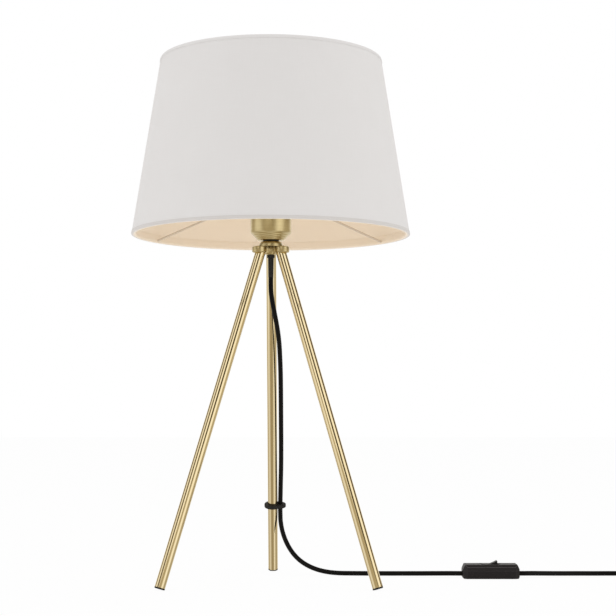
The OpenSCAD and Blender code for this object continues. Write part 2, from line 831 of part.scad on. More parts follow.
module cord_tail() {
    color(black) tube(smooth_route(tail_route, 2), cord_d, tube_sides, [1, 0, 0]);
}

// A point of the coil after t turns. It runs clockwise, in and then out again.
function climb(x) = x <= 0 ? 0 : x >= 1 ? 1 : x * x * (3 - 2 * x);
function coil_point(t) =
    let (r = coil_r - coil_pitch * (layer_turns - abs(layer_turns - t)),
         a = 90 - 360 * t,
         layer = climb((t - layer_turns + 0.25) / 0.5))
    [coil_at[0] + r * cos(a), coil_at[1] + r * sin(a), coil_z + coil_pitch * layer];

coil_count = round(2 * layer_turns * coil_steps);
coil_turns = [for (i = [0 : coil_count]) coil_point(2 * layer_turns * i / coil_count)];
coil_path = concat(
    [coil_turns[0] - [cord_d, 0, 0]], coil_turns, [coil_turns[coil_count] - [0, cord_d, 0]]);

// The least gap between turns: points that are more than a third of a turn apart.
coil_gap = min([for (i = [0 : coil_count], j = [i + coil_steps / 3 : coil_count])
    norm(coil_turns[i] - coil_turns[j])]) - cord_d;
echo(str("least gap between the coil's turns: ", coil_gap, " mm"));

module cord_coil() {
    color(black) tube(coil_path, cord_d, coil_sides, [0, 0, 1]);
}

// A strap round both layers of the coil.
module coil_tie() {
    t = 0.8;
    clear = 0.3;
    w = 9;
    in_r = coil_r - layer_turns * coil_pitch - cord_d / 2 - clear;
    out_r = coil_r + cord_d / 2 + clear;
    tall = coil_pitch + cord_d + 2 * clear;
    color("#2a2a2c") translate([coil_at[0], coil_at[1], 0]) rotate([0, 0, tie_angle])
        translate([in_r, w / 2, t]) rotate([90, 0, 0]) linear_extrude(w) difference() {
            rounded_box([-t, -t], [out_r - in_r + 2 * t, tall + 2 * t], 2 + t);
            rounded_box([0, 0], [out_r - in_r, tall], 2);
        }
}

module rounded_box(at, size, r) {
    translate(at) {
        translate([r, 0]) square([size[0] - 2 * r, size[1]]);
        translate([0, r]) square([size[0], size[1] - 2 * r]);
        for (x = [r, size[0] - r], y = [r, size[1] - r]) translate([x, y]) circle(r = r);
    }
}

// ---------- plug ----------

// In the plug's own frame the pins point along z, and y is up.
module at_plug() {
    translate(plug_at) rotate([90, 0, 0]) children();
}

// The ribbed taper behind the plug.
module plug_relief() {
    ribs = 7;
    rib = relief_l / ribs;
    grow = 1.9 / relief_l;
    base = cord_d / 2 + 0.5;
    color(black) at_plug() rotate_extrude() polygon(concat(
        [[0, 0]],
        [for (i = [0 : ribs - 1], k = [0 : 3])
            let (z = rib * (i + [0, 0.55, 0.7, 1][k]), r = base + grow * z)
                [k == 2 || k == 3 ? r - 0.6 : r + 0.3, k == 3 ? z - 0.3 : z]],
        [[base + 2.4, relief_l], [0, relief_l]]
    ));
}

// The flat body: a stadium in front, drawn in to a waist for the fingers behind.
module plug_body() {
    half = plug_w / 2;
    round_r = plug_t / 2;
    tail_half = 6.2;
    waist_r = 30;
    front = relief_l + plug_l;
    color(black) at_plug() difference() {
        intersection() {
            translate([0, 0, relief_l]) linear_extrude(plug_l) {
                translate([-half + round_r, -round_r]) square([plug_w - plug_t, plug_t]);
                for (side = [-1, 1]) translate([side * (half - round_r), 0]) circle(r = round_r);
            }
            translate([0, round_r, 0]) rotate([90, 0, 0]) linear_extrude(plug_t) difference() {
                polygon([[-tail_half, relief_l], [tail_half, relief_l],
                    [half, relief_l + 22], [half, front - 1], [half - 1, front],
                    [1 - half, front], [-half, front - 1], [-half, relief_l + 22]]);
                for (side = [-1, 1]) translate([side * (tail_half + waist_r + 1.6), relief_l + 7])
                    circle(r = waist_r);
            }
        }
        for (side = [-1, 1]) translate([side * pin_gap / 2, 0, front - pin_root])
            cylinder(r = pin_core / 2 + fit, h = pin_root + 1);
    }
}

module plug_pins() {
    front = relief_l + plug_l;
    tip = 1;
    sleeve_end = front + pin_l - pin_bare;
    color(nickel) at_plug() for (side = [-1, 1]) translate([side * pin_gap / 2, 0, 0])
        rotate_extrude() polygon(concat(
            [[0, front - pin_root], [pin_core / 2, front - pin_root],
             [pin_core / 2, sleeve_end], [pin_d / 2, sleeve_end]],
            arc([pin_d / 2 - tip, front + pin_l - tip], tip, 0, 90, 5),
            [[0, front + pin_l]]));
}

// The insulation round the root of each pin.
module pin_sleeves() {
    front = relief_l + plug_l;
    color(black) at_plug() for (side = [-1, 1]) translate([side * pin_gap / 2, 0, 0])
        washer(pin_d / 2, pin_core / 2 + fit, pin_l - pin_bare, front);
}

// ---------- the pieces ----------

hub();
dome_collar();
insulating_washer();
threaded_nipple();
lock_nut();
leg(LEFT);  // leg_front_left
leg(RIGHT);  // leg_front_right
leg(BACK);  // leg_back
leg_inserts();
leg_studs();
foot_cap(LEFT);  // foot_cap_front_left
foot_cap(RIGHT);  // foot_cap_front_right
foot_cap(BACK);  // foot_cap_back
cable_clip();
cord_gland();
core_wires();
holder_cup();
terminal_block();
terminal_screws();
centre_contact();
side_contact();
screw_shell();
holder_sleeve();
shade_ring();
shade_fitter();
shade_spokes();
hem_wire(low_wire_z);  // shade_low_wire
hem_wire(top_wire_z);  // shade_top_wire
shade_liner();
shade_fabric();
shade_low_hem();
shade_top_hem();
bulb_globe();
bulb_stem();
bulb_filaments();
bulb_cap();
bulb_insulator();
bulb_tip();
switch_base();
switch_cover();
switch_rocker();
switch_bridge();
switch_contacts();
switch_screws();
cord_lamp_side();
cord_plug_side();
cord_coil();
cord_tail();
coil_tie();
plug_relief();
plug_body();
plug_pins();
pin_sleeves();
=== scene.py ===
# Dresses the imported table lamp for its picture: the shade's cloth, the brushed brass, the
# bulb, and the lead with its switch and plug. Metres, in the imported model's own frame.
import json
import math

import bmesh
import bpy
from mathutils import Matrix, Vector


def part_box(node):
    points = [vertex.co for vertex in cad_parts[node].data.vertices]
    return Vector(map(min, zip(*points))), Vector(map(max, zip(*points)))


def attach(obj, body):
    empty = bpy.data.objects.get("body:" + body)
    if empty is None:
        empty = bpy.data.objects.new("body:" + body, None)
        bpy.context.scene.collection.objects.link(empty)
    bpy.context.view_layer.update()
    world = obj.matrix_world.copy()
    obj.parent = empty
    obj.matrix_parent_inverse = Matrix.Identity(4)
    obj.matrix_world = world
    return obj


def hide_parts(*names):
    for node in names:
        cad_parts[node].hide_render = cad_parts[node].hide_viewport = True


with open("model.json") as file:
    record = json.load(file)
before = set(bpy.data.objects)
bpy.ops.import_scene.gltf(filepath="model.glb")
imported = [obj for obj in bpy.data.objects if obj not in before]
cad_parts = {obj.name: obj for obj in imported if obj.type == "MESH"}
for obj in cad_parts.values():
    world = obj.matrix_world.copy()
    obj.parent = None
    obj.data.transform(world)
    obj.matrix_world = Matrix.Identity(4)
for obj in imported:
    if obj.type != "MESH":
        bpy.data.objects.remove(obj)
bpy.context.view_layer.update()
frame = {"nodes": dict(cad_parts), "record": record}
scene = bpy.context.scene
mm = 0.001
print("frame loaded with", len(frame["nodes"]), "nodes")

# ---- camera ----

view = {"at": (0.040, -1.6219, 0.1824), "tiltUp": 3.902, "lens": 88.345, "sensor": 36,
        "near": 0.05, "far": 60}


def placeCamera():
    data = bpy.data.cameras.new("camera")
    data.lens, data.sensor_width = view["lens"], view["sensor"]
    data.clip_start, data.clip_end = view["near"], view["far"]
    eye = bpy.data.objects.new("camera", data)
    eye.location = view["at"]
    eye.rotation_euler = (math.radians(90 + view["tiltUp"]), 0, 0)
    scene.collection.objects.link(eye)
    scene.camera = eye


placeCamera()
print("camera placed")


# ---- node boards: every finish is wired through these ----

class Wire:
    # a socket in a sum: each operator adds its Math node
    def __init__(self, board, socket):
        self.board, self.socket = board, socket

    def maths(self, operation, *values):
        return self.board.add("ShaderNodeMath", {"operation": operation}, dict(enumerate(values)))

    def __add__(self, other):
        return self.maths("ADD", self, other)

    def __rsub__(self, other):
        return self.maths("SUBTRACT", other, self)

    def __mul__(self, other):
        return self.maths("MULTIPLY", self, other)

    __radd__ = __add__
    __rmul__ = __mul__

    def via(self, operation, *others):
        return self.maths(operation, self, *others)


class Board:
    # a node tree; settings go in before sockets, and stops go on a ramp
    def __init__(self, tree):
        self.tree = tree

    def feed(self, socket, value):
        if isinstance(value, Wire):
            self.tree.links.new(value.socket, socket)
        else:
            socket.default_value = value

    def add(self, kind, settings=None, sockets=None, out=0):
        node = self.tree.nodes.new(kind)
        for key, value in (settings or {}).items():
            if key == "stops":
                band = node.color_ramp.elements
                while len(band) < len(value):
                    band.new(1.0)
                for stop, (place, colour) in zip(band, value):
                    stop.position, stop.color = place, colour
            elif key == "ease":
                node.color_ramp.interpolation = value
            else:
                setattr(node, key, value)
        for key, value in (sockets or {}).items():
            self.feed(node.inputs[key], value)
        return Wire(self, node.outputs[out])

    def beside(self, wire, name):
        # another output of the node that a wire comes from
        return Wire(self, wire.socket.node.outputs[name])

    def place(self):
        return self.add("ShaderNodeTexCoord", out="Object")

    def painted(self, layer, out="Fac"):
        return self.add("ShaderNodeAttribute", {"attribute_name": layer}, out=out)

    def split(self, vector):
        parts = self.add("ShaderNodeSeparateXYZ", sockets={0: vector})
        return [self.beside(parts, i) for i in range(3)]

    def join(self, x, y, z=0.0):
        return self.add("ShaderNodeCombineXYZ", sockets={0: x, 1: y, 2: z})

    def stretch(self, vector, scale):
        return self.add("ShaderNodeMapping", sockets={"Vector": vector, "Scale": scale})

    def noise(self, vector, scale, detail=3.0, rough=0.5):
        return self.add("ShaderNodeTexNoise", sockets={"Vector": vector, "Scale": scale,
                                                       "Detail": detail, "Roughness": rough})

    def streaks(self, across, up, scale, detail=2.0):
        # noise on the cloth map, drawn out along one thread
        return self.noise(self.join(across * scale[0], up * scale[1]), 1.0, detail)

    def tint(self, factor, first, second):
        return self.add("ShaderNodeMix", {"data_type": "RGBA"},
                        {0: factor, 6: first, 7: second}, out=2)

    def bump(self, height, strength, depth):
        return self.add("ShaderNodeBump",
                        sockets={"Height": height, "Strength": strength, "Distance": depth})


def rgb(r, g, b):
    # a colour as a picture editor gives it, turned to the linear light that sockets take
    return tuple((c / 255 / 12.92 if c < 10.3 else ((c / 255 + 0.055) / 1.055) ** 2.4)
                 for c in (r, g, b)) + (1.0,)


def shaded(colour, factor, lift=0.0):
    return tuple(min(1.0, c * factor + lift) for c in colour[:3]) + (1.0,)


def newFinish(name, fixed):
    material = bpy.data.materials.new(name)
    material.use_nodes = True
    board = Board(material.node_tree)
    shader = material.node_tree.nodes["Principled BSDF"]
    for key, value in fixed.items():
        shader.inputs[key].default_value = value
    return material, board, shader.inputs


# ---- brass and other metals ----

brass = {
    "pale": rgb(241, 226, 187), "warm": rgb(229, 209, 165),  # the legs' two tones
    # each turned part's two tones; the hub's and the dome's are darker copies of the cup's, painted
    # shade under the cup
    "cup": (rgb(232, 217, 173), rgb(208, 186, 132)),
    "hub": (rgb(223, 207, 163), rgb(199, 177, 124)),
    "dome": (rgb(211, 196, 152), rgb(188, 166, 115)),
}
drawn = {"coat": 0.25, "coatRough": 0.08, "hairs": (2400, 2400, 5), "cloud": (60, 60, 9),
         "rough": 0.08, "hairRough": 0.05, "cloudRough": 0.03, "dent": 0.01 * mm}
turned = {"coat": 0.15, "coatRough": 0.25, "rings": 3200.0, "bands": 420.0, "cloud": 70.0,
          "rough": 0.22, "ringRough": 0.12, "bandRough": 0.08, "cloudRough": 0.06,
          "dent": 0.03 * mm}
metals = {
    "brightBrass": {"colour": rgb(226, 200, 128), "low": 0.18, "high": 0.34},
    "zincSteel": {"colour": rgb(188, 190, 190), "low": 0.28, "high": 0.48},
    "nickel": {"colour": rgb(206, 204, 200), "low": 0.12, "high": 0.24, "grain": 180.0,
               "dent": 0.01 * mm},
}


def drawnBrass():
    # the legs: lacquered tube, brushed along its length
    material, board, into = newFinish("drawnBrass", {
        "Metallic": 1.0, "Coat Weight": drawn["coat"], "Coat Roughness": drawn["coatRough"]})
    grain = board.painted("grain", "Vector")
    hairs = board.noise(board.stretch(grain, drawn["hairs"]), 1.0, 2.0)
    cloud = board.noise(board.stretch(grain, drawn["cloud"]), 1.0, 2.0)
    board.feed(into["Base Color"],
               board.tint(hairs * 0.5 + cloud * 0.5, brass["pale"], brass["warm"]))
    board.feed(into["Roughness"],
               hairs * drawn["hairRough"] + cloud * drawn["cloudRough"] + drawn["rough"])
    board.feed(into["Normal"], board.bump(hairs, 0.05, drawn["dent"]))
    return material


def turnedBrass(part):
    # the cup, dome and hub: fine rings left by the lathe
    material, board, into = newFinish(part + "Brass", {
        "Metallic": 1.0, "Coat Weight": turned["coat"], "Coat Roughness": turned["coatRough"]})
    x, y, z = board.split(board.place())
    radius = (x * x + y * y).via("SQRT")
    rings = board.noise(board.join(radius, z), turned["rings"], 3.0, 0.6)
    bands = board.noise(board.join(radius, z), turned["bands"], 2.0)
    cloud = board.noise(board.place(), turned["cloud"])
    board.feed(into["Base Color"],
               board.tint(rings * 0.35 + bands * 0.5 + cloud * 0.15, *brass[part]))
    board.feed(into["Roughness"], rings * turned["ringRough"] + bands * turned["bandRough"]
               + cloud * turned["cloudRough"] + turned["rough"])
    board.feed(into["Normal"], board.bump(rings * 0.7 + bands * 0.3, 0.22, turned["dent"]))
    return material


def plainMetal(name, colour, low, high, grain=260.0, dent=0.02 * mm):
    # small metal parts: rolled or plated, with a faint mottle, rough from low to high
    material, board, into = newFinish(name, {"Metallic": 1.0})
    mottle = board.noise(board.place(), grain, 4.0, 0.6)
    cloud = board.noise(board.place(), grain / 9, 2.0)
    board.feed(into["Base Color"],
               board.tint(mottle * 0.5 + cloud * 0.5, colour, shaded(colour, 0.82)))
    board.feed(into["Roughness"], mottle * (high - low) + low)
    board.feed(into["Normal"], board.bump(mottle, 0.15, dent))
    return material


# ---- plastics, rubber and the lead ----

plastics = {
    "blackPlastic": {"colour": rgb(24, 23, 24), "rough": 0.50},
    "blackRubber": {"colour": rgb(19, 18, 18), "rough": 0.66, "grain": 700.0,
                    "dent": 0.05 * mm},
    # the charcoal and rocker plastics' paler edge colour is a painted highlight on their upward
    # bevels
    "charcoalPlastic": {"colour": rgb(31, 28, 30), "rough": 0.50, "grain": 1100.0,
                        "coat": 0.04, "paintedHighlight": rgb(104, 100, 102), "shine": 0.22},
    "rockerPlastic": {"colour": rgb(24, 22, 23), "rough": 0.42, "grain": 1100.0,
                      "dent": 0.02 * mm, "coat": 0.06, "paintedHighlight": rgb(66, 62, 64),
                      "shine": 0.25},
    "whitePlastic": {"colour": rgb(236, 234, 229), "rough": 0.42, "grain": 800.0,
                     "dent": 0.02 * mm, "coat": 0.3, "spread": 0.02},
    "ceramic": {"colour": rgb(232, 228, 218), "rough": 0.25, "grain": 300.0,
                "dent": 0.04 * mm, "coat": 0.9, "spread": 0.03},
    "whiteWire": {"colour": rgb(210, 194, 174), "rough": 0.40, "grain": 500.0,
                  "dent": 0.04 * mm, "coat": 0.4, "spread": 0.03},
    "phosphor": {"colour": rgb(232, 196, 92), "rough": 0.70, "grain": 600.0, "spread": 0.06},
    "coreSheath": {"colour": rgb(110, 66, 38), "rough": 0.45, "grain": 500.0, "coat": 0.2},
}
sheath = {"pale": rgb(14, 13, 13), "deep": rgb(8, 7, 8), "shine": 0.12, "rough": 0.30,
          "dent": 0.06 * mm}


def mouldedPlastic(name, colour, rough, grain=900.0, dent=0.03 * mm, coat=0.0, spread=0.12,
                   paintedHighlight=None, shine=0.5):
    # spark-eroded mould grain, a faint cloudiness where it cooled, and upward bevelled edges
    # painted paler: a painted highlight
    material, board, into = newFinish(name, {"Coat Roughness": 0.25, "IOR": 1.47,
                                             "Specular IOR Level": shine})
    speckle = board.noise(board.place(), grain, 4.0, 0.65)
    cloud = board.noise(board.place(), 45.0, 2.0)
    shown = board.tint(speckle * 0.4 + cloud * 0.6, colour, shaded(colour, 1 + spread, 0.002))
    if paintedHighlight:
        # painted highlight: the marked upward bevel faces are tinted toward the paler colour
        shown = board.tint(board.painted("edge") * (speckle * 0.4 + 0.6), shown, paintedHighlight)
    board.feed(into["Base Color"], shown)
    board.feed(into["Roughness"], rough - 0.07 + speckle * 0.10 + cloud * 0.05)
    board.feed(into["Coat Weight"], cloud * coat)
    board.feed(into["Normal"], board.bump(speckle, 0.35, dent))
    return material


def leadSheath():
    # extruded sheath: satin, drawn very slightly uneven
    material, board, into = newFinish("leadSheath", {"Coat Roughness": 0.3, "IOR": 1.5,
                                                     "Specular IOR Level": sheath["shine"]})
    fine = board.noise(board.place(), 700.0, 3.0, 0.6)
    slow = board.noise(board.place(), 60.0, 2.0)
    board.feed(into["Base Color"], board.tint(slow, sheath["deep"], sheath["pale"]))
    board.feed(into["Roughness"], fine * 0.12 + slow * 0.08 + sheath["rough"])
    board.feed(into["Coat Weight"], slow * 0.06)
    board.feed(into["Normal"], board.bump(fine * 0.4 + slow * 0.6, 0.25, sheath["dent"]))
    return material


# ---- cloth and its backing ----

# noise scales are across and up, on the cloth map
loom = {"thread": 0.42 * mm, "dent": 0.10 * mm, "warpSlub": (1500, 55), "weftSlub": (45, 1700),
        "cloud": (22, 22), "rough": 0.97, "sheen": 0.25, "sheenRough": 0.4}
cloths = {
    "shadeCloth": {"pale": rgb(234, 232, 231), "deep": rgb(223, 220, 218)},
    # the lower hem's tones are a darker copy of the wall's cloth: painted shade along the bottom
    # edge
    "hemCloth": {"pale": rgb(221, 217, 214), "deep": rgb(209, 205, 201), "turnedIn": True},
    "rimCloth": {"pale": rgb(233, 231, 230), "deep": rgb(222, 219, 217), "turnedIn": True},
}
lining = {"pale": rgb(252, 239, 220), "deep": rgb(248, 232, 211), "shine": 0.2, "rough": 0.42,
          "warpGhost": (1200, 60), "weftGhost": (60, 1200), "cloud": (15, 15),
          "dent": 0.03 * mm}


def clothPlace(board):
    return board.split(board.add("ShaderNodeUVMap", {"uv_map": "cloth"}))[:2]


def wovenCloth(name, pale, deep, turnedIn=False):
    # plain weave in metres round and up the shade, with thicker slub threads
    material, board, into = newFinish(name, {"Sheen Weight": loom["sheen"],
                                             "Sheen Roughness": loom["sheenRough"]})
    across, up = clothPlace(board)
    turn = math.pi / loom["thread"]
    warp = (across * turn).via("SINE").via("ABSOLUTE")
    weft = (up * turn).via("SINE").via("ABSOLUTE")
    over = (across * turn).via("SINE") * (up * turn).via("SINE") * 0.5 + 0.5
    weave = warp * over + weft * (1 - over)
    slub = (board.streaks(across, up, loom["warpSlub"])
            + board.streaks(across, up, loom["weftSlub"])) * 0.5
    cloud = board.streaks(across, up, loom["cloud"], 3.0)
    thick = slub * 0.55 + cloud * 0.3 + weave * 0.15
    colour = board.tint(thick, deep, pale)
    if turnedIn:
        # the hem's inner side is backed like the wall that it is rolled from
        backed = board.tint(thick, lining["deep"], lining["pale"])
        colour = board.tint(board.painted("inward"), colour, backed)
    board.feed(into["Base Color"], colour)
    board.feed(into["Roughness"], loom["rough"] - 0.12 * weave)
    board.feed(into["Normal"], board.bump(weave * 0.5 + slub * 0.5, 0.5, loom["dent"]))
    return material


def liningFilm():
    # the smooth backing that the cloth is bonded to; the weave just shows through
    material, board, into = newFinish("liningFilm", {"IOR": 1.5,
                                                     "Specular IOR Level": lining["shine"]})
    across, up = clothPlace(board)
    weftGhost = board.streaks(across, up, lining["weftGhost"])
    warpGhost = board.streaks(across, up, lining["warpGhost"])
    cloud = board.streaks(across, up, lining["cloud"])
    board.feed(into["Base Color"],
               board.tint(cloud * 0.6 + weftGhost * 0.4, lining["pale"], lining["deep"]))
    board.feed(into["Roughness"], weftGhost * 0.1 + lining["rough"])
    board.feed(into["Normal"], board.bump(weftGhost + warpGhost, 0.1, lining["dent"]))
    return material


# ---- glass ----

opal = {"pale": rgb(250, 246, 238), "deep": rgb(243, 238, 229), "rough": 0.25, "coat": 0.5,
        "coatRough": 0.06}
clear = {"pale": rgb(240, 246, 246), "deep": rgb(228, 238, 238), "rough": 0.02}


def opalGlass():
    # flashed opal: white under a clear skin
    material, board, into = newFinish("opalGlass", {"IOR": 1.5,
                                                    "Coat Roughness": opal["coatRough"]})
    cloud = board.noise(board.place(), 55.0)
    board.feed(into["Base Color"], board.tint(cloud, opal["pale"], opal["deep"]))
    board.feed(into["Roughness"], cloud * 0.1 + opal["rough"])
    board.feed(into["Coat Weight"], cloud * 0.2 + opal["coat"])
    return material


def clearGlass():
    material, board, into = newFinish("clearGlass", {"IOR": 1.5, "Transmission Weight": 1.0})
    ripple = board.noise(board.place(), 120.0, 2.0)
    board.feed(into["Base Color"], board.tint(ripple, clear["pale"], clear["deep"]))
    board.feed(into["Roughness"], ripple * 0.04 + clear["rough"])
    return material


finishes = {"drawnBrass": drawnBrass(), "leadSheath": leadSheath(), "liningFilm": liningFilm(),
            "opalGlass": opalGlass(), "clearGlass": clearGlass()}
finishes.update({part + "Brass": turnedBrass(part) for part in ("cup", "hub", "dome")})
for table, recipe in ((metals, plainMetal), (plastics, mouldedPlastic), (cloths, wovenCloth)):
    finishes.update({name: recipe(name, **made) for name, made in table.items()})
print("finishes made:", len(finishes))


# ---- making pieces ----

joining = {"weld": 0.002 * mm, "seamWeld": 0.001 * mm, "flatWithin": 0.4, "crease": 35,
           "faceUp": 0.1}


def finishPiece(bm, name, finish, body, stands=(), crease=joining["crease"]):
    mesh = bpy.data.meshes.new(name)
    bm.to_mesh(mesh)
    bm.free()
    mesh.shade_smooth()
    mesh.set_sharp_from_angle(angle=math.radians(crease))
    mesh.materials.append(finishes[finish])
    piece = bpy.data.objects.new(name, mesh)
    scene.collection.objects.link(piece)
    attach(piece, body)
    if stands:
        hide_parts(*stands)
    return piece


def lathe(outline, steps):
    # turns a closed outline of (radius, height) points round the lamp's axis
    bm = bmesh.new()
    dots = [bm.verts.new((r, 0, z)) for r, z in outline]
    lines = [bm.edges.new(pair) for pair in zip(dots, dots[1:] + dots[:1])]
    bmesh.ops.spin(bm, geom=dots + lines, cent=(0, 0, 0), axis=(0, 0, 1),
                   angle=math.tau, steps=steps, use_merge=True)
    bmesh.ops.remove_doubles(bm, verts=bm.verts, dist=joining["seamWeld"])
    bmesh.ops.recalc_face_normals(bm, faces=bm.faces)
    return bm


def rounded(corners, radius, steps=4):
    # softens the corners of a closed outline
    line = []
    for i, corner in enumerate(corners):
        here = Vector(corner)
        back = Vector(corners[i - 1]) - here
        ahead = Vector(corners[(i + 1) % len(corners)]) - here
        reach = min(radius, back.length * 0.45, ahead.length * 0.45)
        start, end = here + back.normalized() * reach, here + ahead.normalized() * reach
        for t in (k / steps for k in range(steps + 1)):
            line.append(tuple(start.lerp(here, t).lerp(here.lerp(end, t), t)))
    return line


def welded(node):
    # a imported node's mesh is loose triangles: this is a joined copy of it
    bm = bmesh.new()
    bm.from_mesh(frame["nodes"][node].data)
    bmesh.ops.remove_doubles(bm, verts=bm.verts, dist=joining["weld"])
    bmesh.ops.dissolve_limit(bm, angle_limit=math.radians(joining["flatWithin"]),
                             verts=bm.verts, edges=bm.edges)
    return bm


def breakEdges(bm, width, segments, sharp):
    # rounds the edges sharper than an angle, and marks the bevel faces that look up, for a painted
    # highlight
    edge = bm.faces.layers.float.new("edge")
    hard = [e for e in bm.edges
            if len(e.link_faces) == 2 and e.calc_face_angle(0) > math.radians(sharp)]
    made = bmesh.ops.bevel(bm, geom=hard, offset=width, segments=segments, profile=0.5,
                           affect="EDGES", clamp_overlap=True, material=-1)
    for face in made["faces"]:
        # only bevel faces that look up get the painted highlight
        face[edge] = 1.0 if face.normal.z > joining["faceUp"] else 0.0
    return bm


def bodyOf(node):
    return next(b for b, members in frame["record"]["behaviour"]["bodies"].items()
                if node in members)


def softened(node, finish, width, name, segments=3, sharp=30):
    bm = breakEdges(welded(node), width, segments, sharp)
    return finishPiece(bm, name, finish, bodyOf(node), [node])


# ---- lead: the same routes as the part's, in millimetres here and metres when made ----

lead = {
    "d": 5.2 * mm,
    "lampSide": [
        [0, 0, 326], [0, 0.2, 318.5], [0.3, 1.9, 309.5], [1.6, 6, 300], [4, 13.6, 287],
        [6.7, 23.6, 271.6], [8.5, 33.4, 256], [9.4, 42.5, 237], [9.8, 50.5, 219],
        [9.9, 59.5, 197], [9.9, 68.5, 174], [9.9, 78, 148], [9.7, 87.5, 122], [9.1, 96, 99],
        [8.6, 104.1, 76], [8.6, 106.8, 66], [9.1, 106.6, 56.5], [11.4, 103.4, 45.5],
        [15.6, 98.4, 34.8], [21.5, 93, 25.2], [29, 88, 17.2], [38.3, 83.6, 11], [49, 80, 6.6],
        [60.5, 77.2, 4], [73, 75.2, 2.85], [88, 74, 2.65], [105, 73, 2.65], [123, 70.6, 2.85],
        [142, 66, 3.35], [160, 60.4, 3.95], [177, 55.2, 4.55], [193, 51.9, 4.95],
        [204, 51, 5], [212, 51, 5],
    ],
    "plugSide": [
        [268, 51, 5], [277, 51.2, 5], [286, 53.5, 4.8], [300, 58.5, 4.2], [320, 64.5, 3.5],
        [340, 69.5, 3], [362, 73, 2.6], [384, 73.5, 2.6], [398, 73.5, 2.9], [408, 73.5, 3.6],
        [414.8, 73.5, 3.7],
    ],
    "tail": [[457, 31.3, 9.5], [457, 26, 9.4], [457, 18, 7.8], [457, 11, 6.9], [457, 6, 6.85]],
    "spanSteps": 6, "roundSteps": 6,
    "lampSideLength": 0.533,
    "plugSideLength": 1.155,
}
coil = {"at": (420, 36.5), "z": 3.7, "r": 37, "pitch": 5.8, "layerTurns": 2.625,
        "crossTurns": 0.5, "turnSteps": 48}


def smoothLine(points, steps):
    # a curve through given points, by Catmull and Rom's rule
    dots = [Vector(p) for p in points]
    dots = [2 * dots[0] - dots[1], *dots, 2 * dots[-1] - dots[-2]]
    line = []
    for a, b, c, d in zip(dots, dots[1:], dots[2:], dots[3:]):
        for t in (k / steps for k in range(steps)):
            line.append(0.5 * (2 * b + (c - a) * t + (2 * a - 5 * b + 4 * c - d) * t * t
                               + (3 * b - a - 3 * c + d) * t ** 3))
    return [*line, dots[-2]]


def coilLine():
    # clockwise seen from above: in along the lower layer, and out again along the upper one
    layer = coil["layerTurns"]
    line = []
    for i in range(round(2 * layer * coil["turnSteps"]) + 1):
        t = i / coil["turnSteps"]
        r = coil["r"] - coil["pitch"] * (layer - abs(layer - t))
        turn = math.radians(90 - 360 * t)
        climb = min(1, max(0, (t - layer) / coil["crossTurns"] + 0.5))
        rise = coil["pitch"] * climb * climb * (3 - 2 * climb)
        line.append(Vector((coil["at"][0] + r * math.cos(turn),
                            coil["at"][1] + r * math.sin(turn), coil["z"] + rise)))
    return line


def runLead(name, line, stands):
    data = bpy.data.curves.new(name, "CURVE")
    data.dimensions = "3D"
    data.bevel_depth = lead["d"] / 2
    data.bevel_resolution = lead["roundSteps"]
    data.use_fill_caps = True
    spline = data.splines.new("POLY")
    spline.points.add(len(line) - 1)
    # the line never sinks below half the lead's thickness
    spots = [(x * mm, y * mm, max(z * mm, lead["d"] / 2), 1.0) for x, y, z in line]
    spline.points.foreach_set("co", [c for spot in spots for c in spot])
    spline.use_smooth = True
    data.materials.append(finishes["leadSheath"])
    piece = bpy.data.objects.new(name, data)
    scene.collection.objects.link(piece)
    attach(piece, "stand")
    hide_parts(*stands)
    print(name, "runs", round(sum((b - a).length for a, b in zip(line, line[1:])) * mm, 4), "m")
    return piece


lampLead = runLead("lampLead", smoothLine(lead["lampSide"], lead["spanSteps"]),
                   ["cord_lamp_side"])
plugLead = runLead("plugLead",
                   smoothLine(lead["plugSide"], lead["spanSteps"])[:-1]
                   + coilLine() + smoothLine(lead["tail"], lead["spanSteps"])[1:],
                   ["cord_plug_side", "cord_coil", "cord_tail"])

# ---- switch and plug ----

switchBase = softened("switch_base", "charcoalPlastic", 0.5 * mm, "switchBaseShell")
switchCover = softened("switch_cover", "charcoalPlastic", 0.6 * mm, "switchCoverShell")
switchKey = softened("switch_rocker", "rockerPlastic", 0.45 * mm, "rockerKey")
plugShell = softened("plug_body", "blackRubber", 1.0 * mm, "plugShell", 4)
reliefRibs = softened("plug_relief", "blackRubber", 0.2 * mm, "reliefRibs")
coilStrap = softened("coil_tie", "blackPlastic", 0.25 * mm, "coilStrap")

switchPieces = [switchBase, switchCover, switchKey]
switchPieces += [frame["nodes"][n] for n in ("switch_bridge", "switch_contacts", "switch_screws")]
print("lead, switch and plug made")

# ---- shade ----

shade = {
    "lowR": 150 * mm, "topR": 120 * mm, "rings": 28, "around": 256,
    "hemT": 0.4 * mm, "clothT": 0.7 * mm, "filmT": 0.5 * mm, "bond": 0.02 * mm,
    "flat": (0.283, 0.914), "area": 0.1642,
}
shade["lowZ"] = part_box("shade_low_hem")[0].z
shade["topZ"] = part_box("shade_top_hem")[1].z

hem = {
    "wireD": 2.6 * mm, "wireGap": 0.1 * mm,
    # the outer edge's roll, as depths under the cloth and heights over the edge
    "roll": [(0.9 * mm, 0), (0.25 * mm, 0.35 * mm), (0, 1.1 * mm)],
    "up": 3.6 * mm, "cornerR": 0.4 * mm, "crease": 60,
    # the turned-in flap, from its bend over the wire to its end on the lining
    "bendUp": 0.6, "flapUp": 9 * mm, "flapT": 0.3 * mm, "glue": 0.05 * mm,
    "swell": (0.25 * mm, 1.4 * mm), "heel": 0.2 * mm,
    # where the roll turns from cloth to backing, by the same two measures
    "backedDepth": 2.2 * mm, "backedHeight": 3.7 * mm,
}
lap = {"half": 5 * mm, "t": 0.3 * mm, "wall": 0.2 * mm, "across": 8, "feather": 4}


def wallR(z, inward=0.0):
    fall = (z - shade["lowZ"]) / (shade["topZ"] - shade["lowZ"])
    return shade["lowR"] + (shade["topR"] - shade["lowR"]) * fall - inward


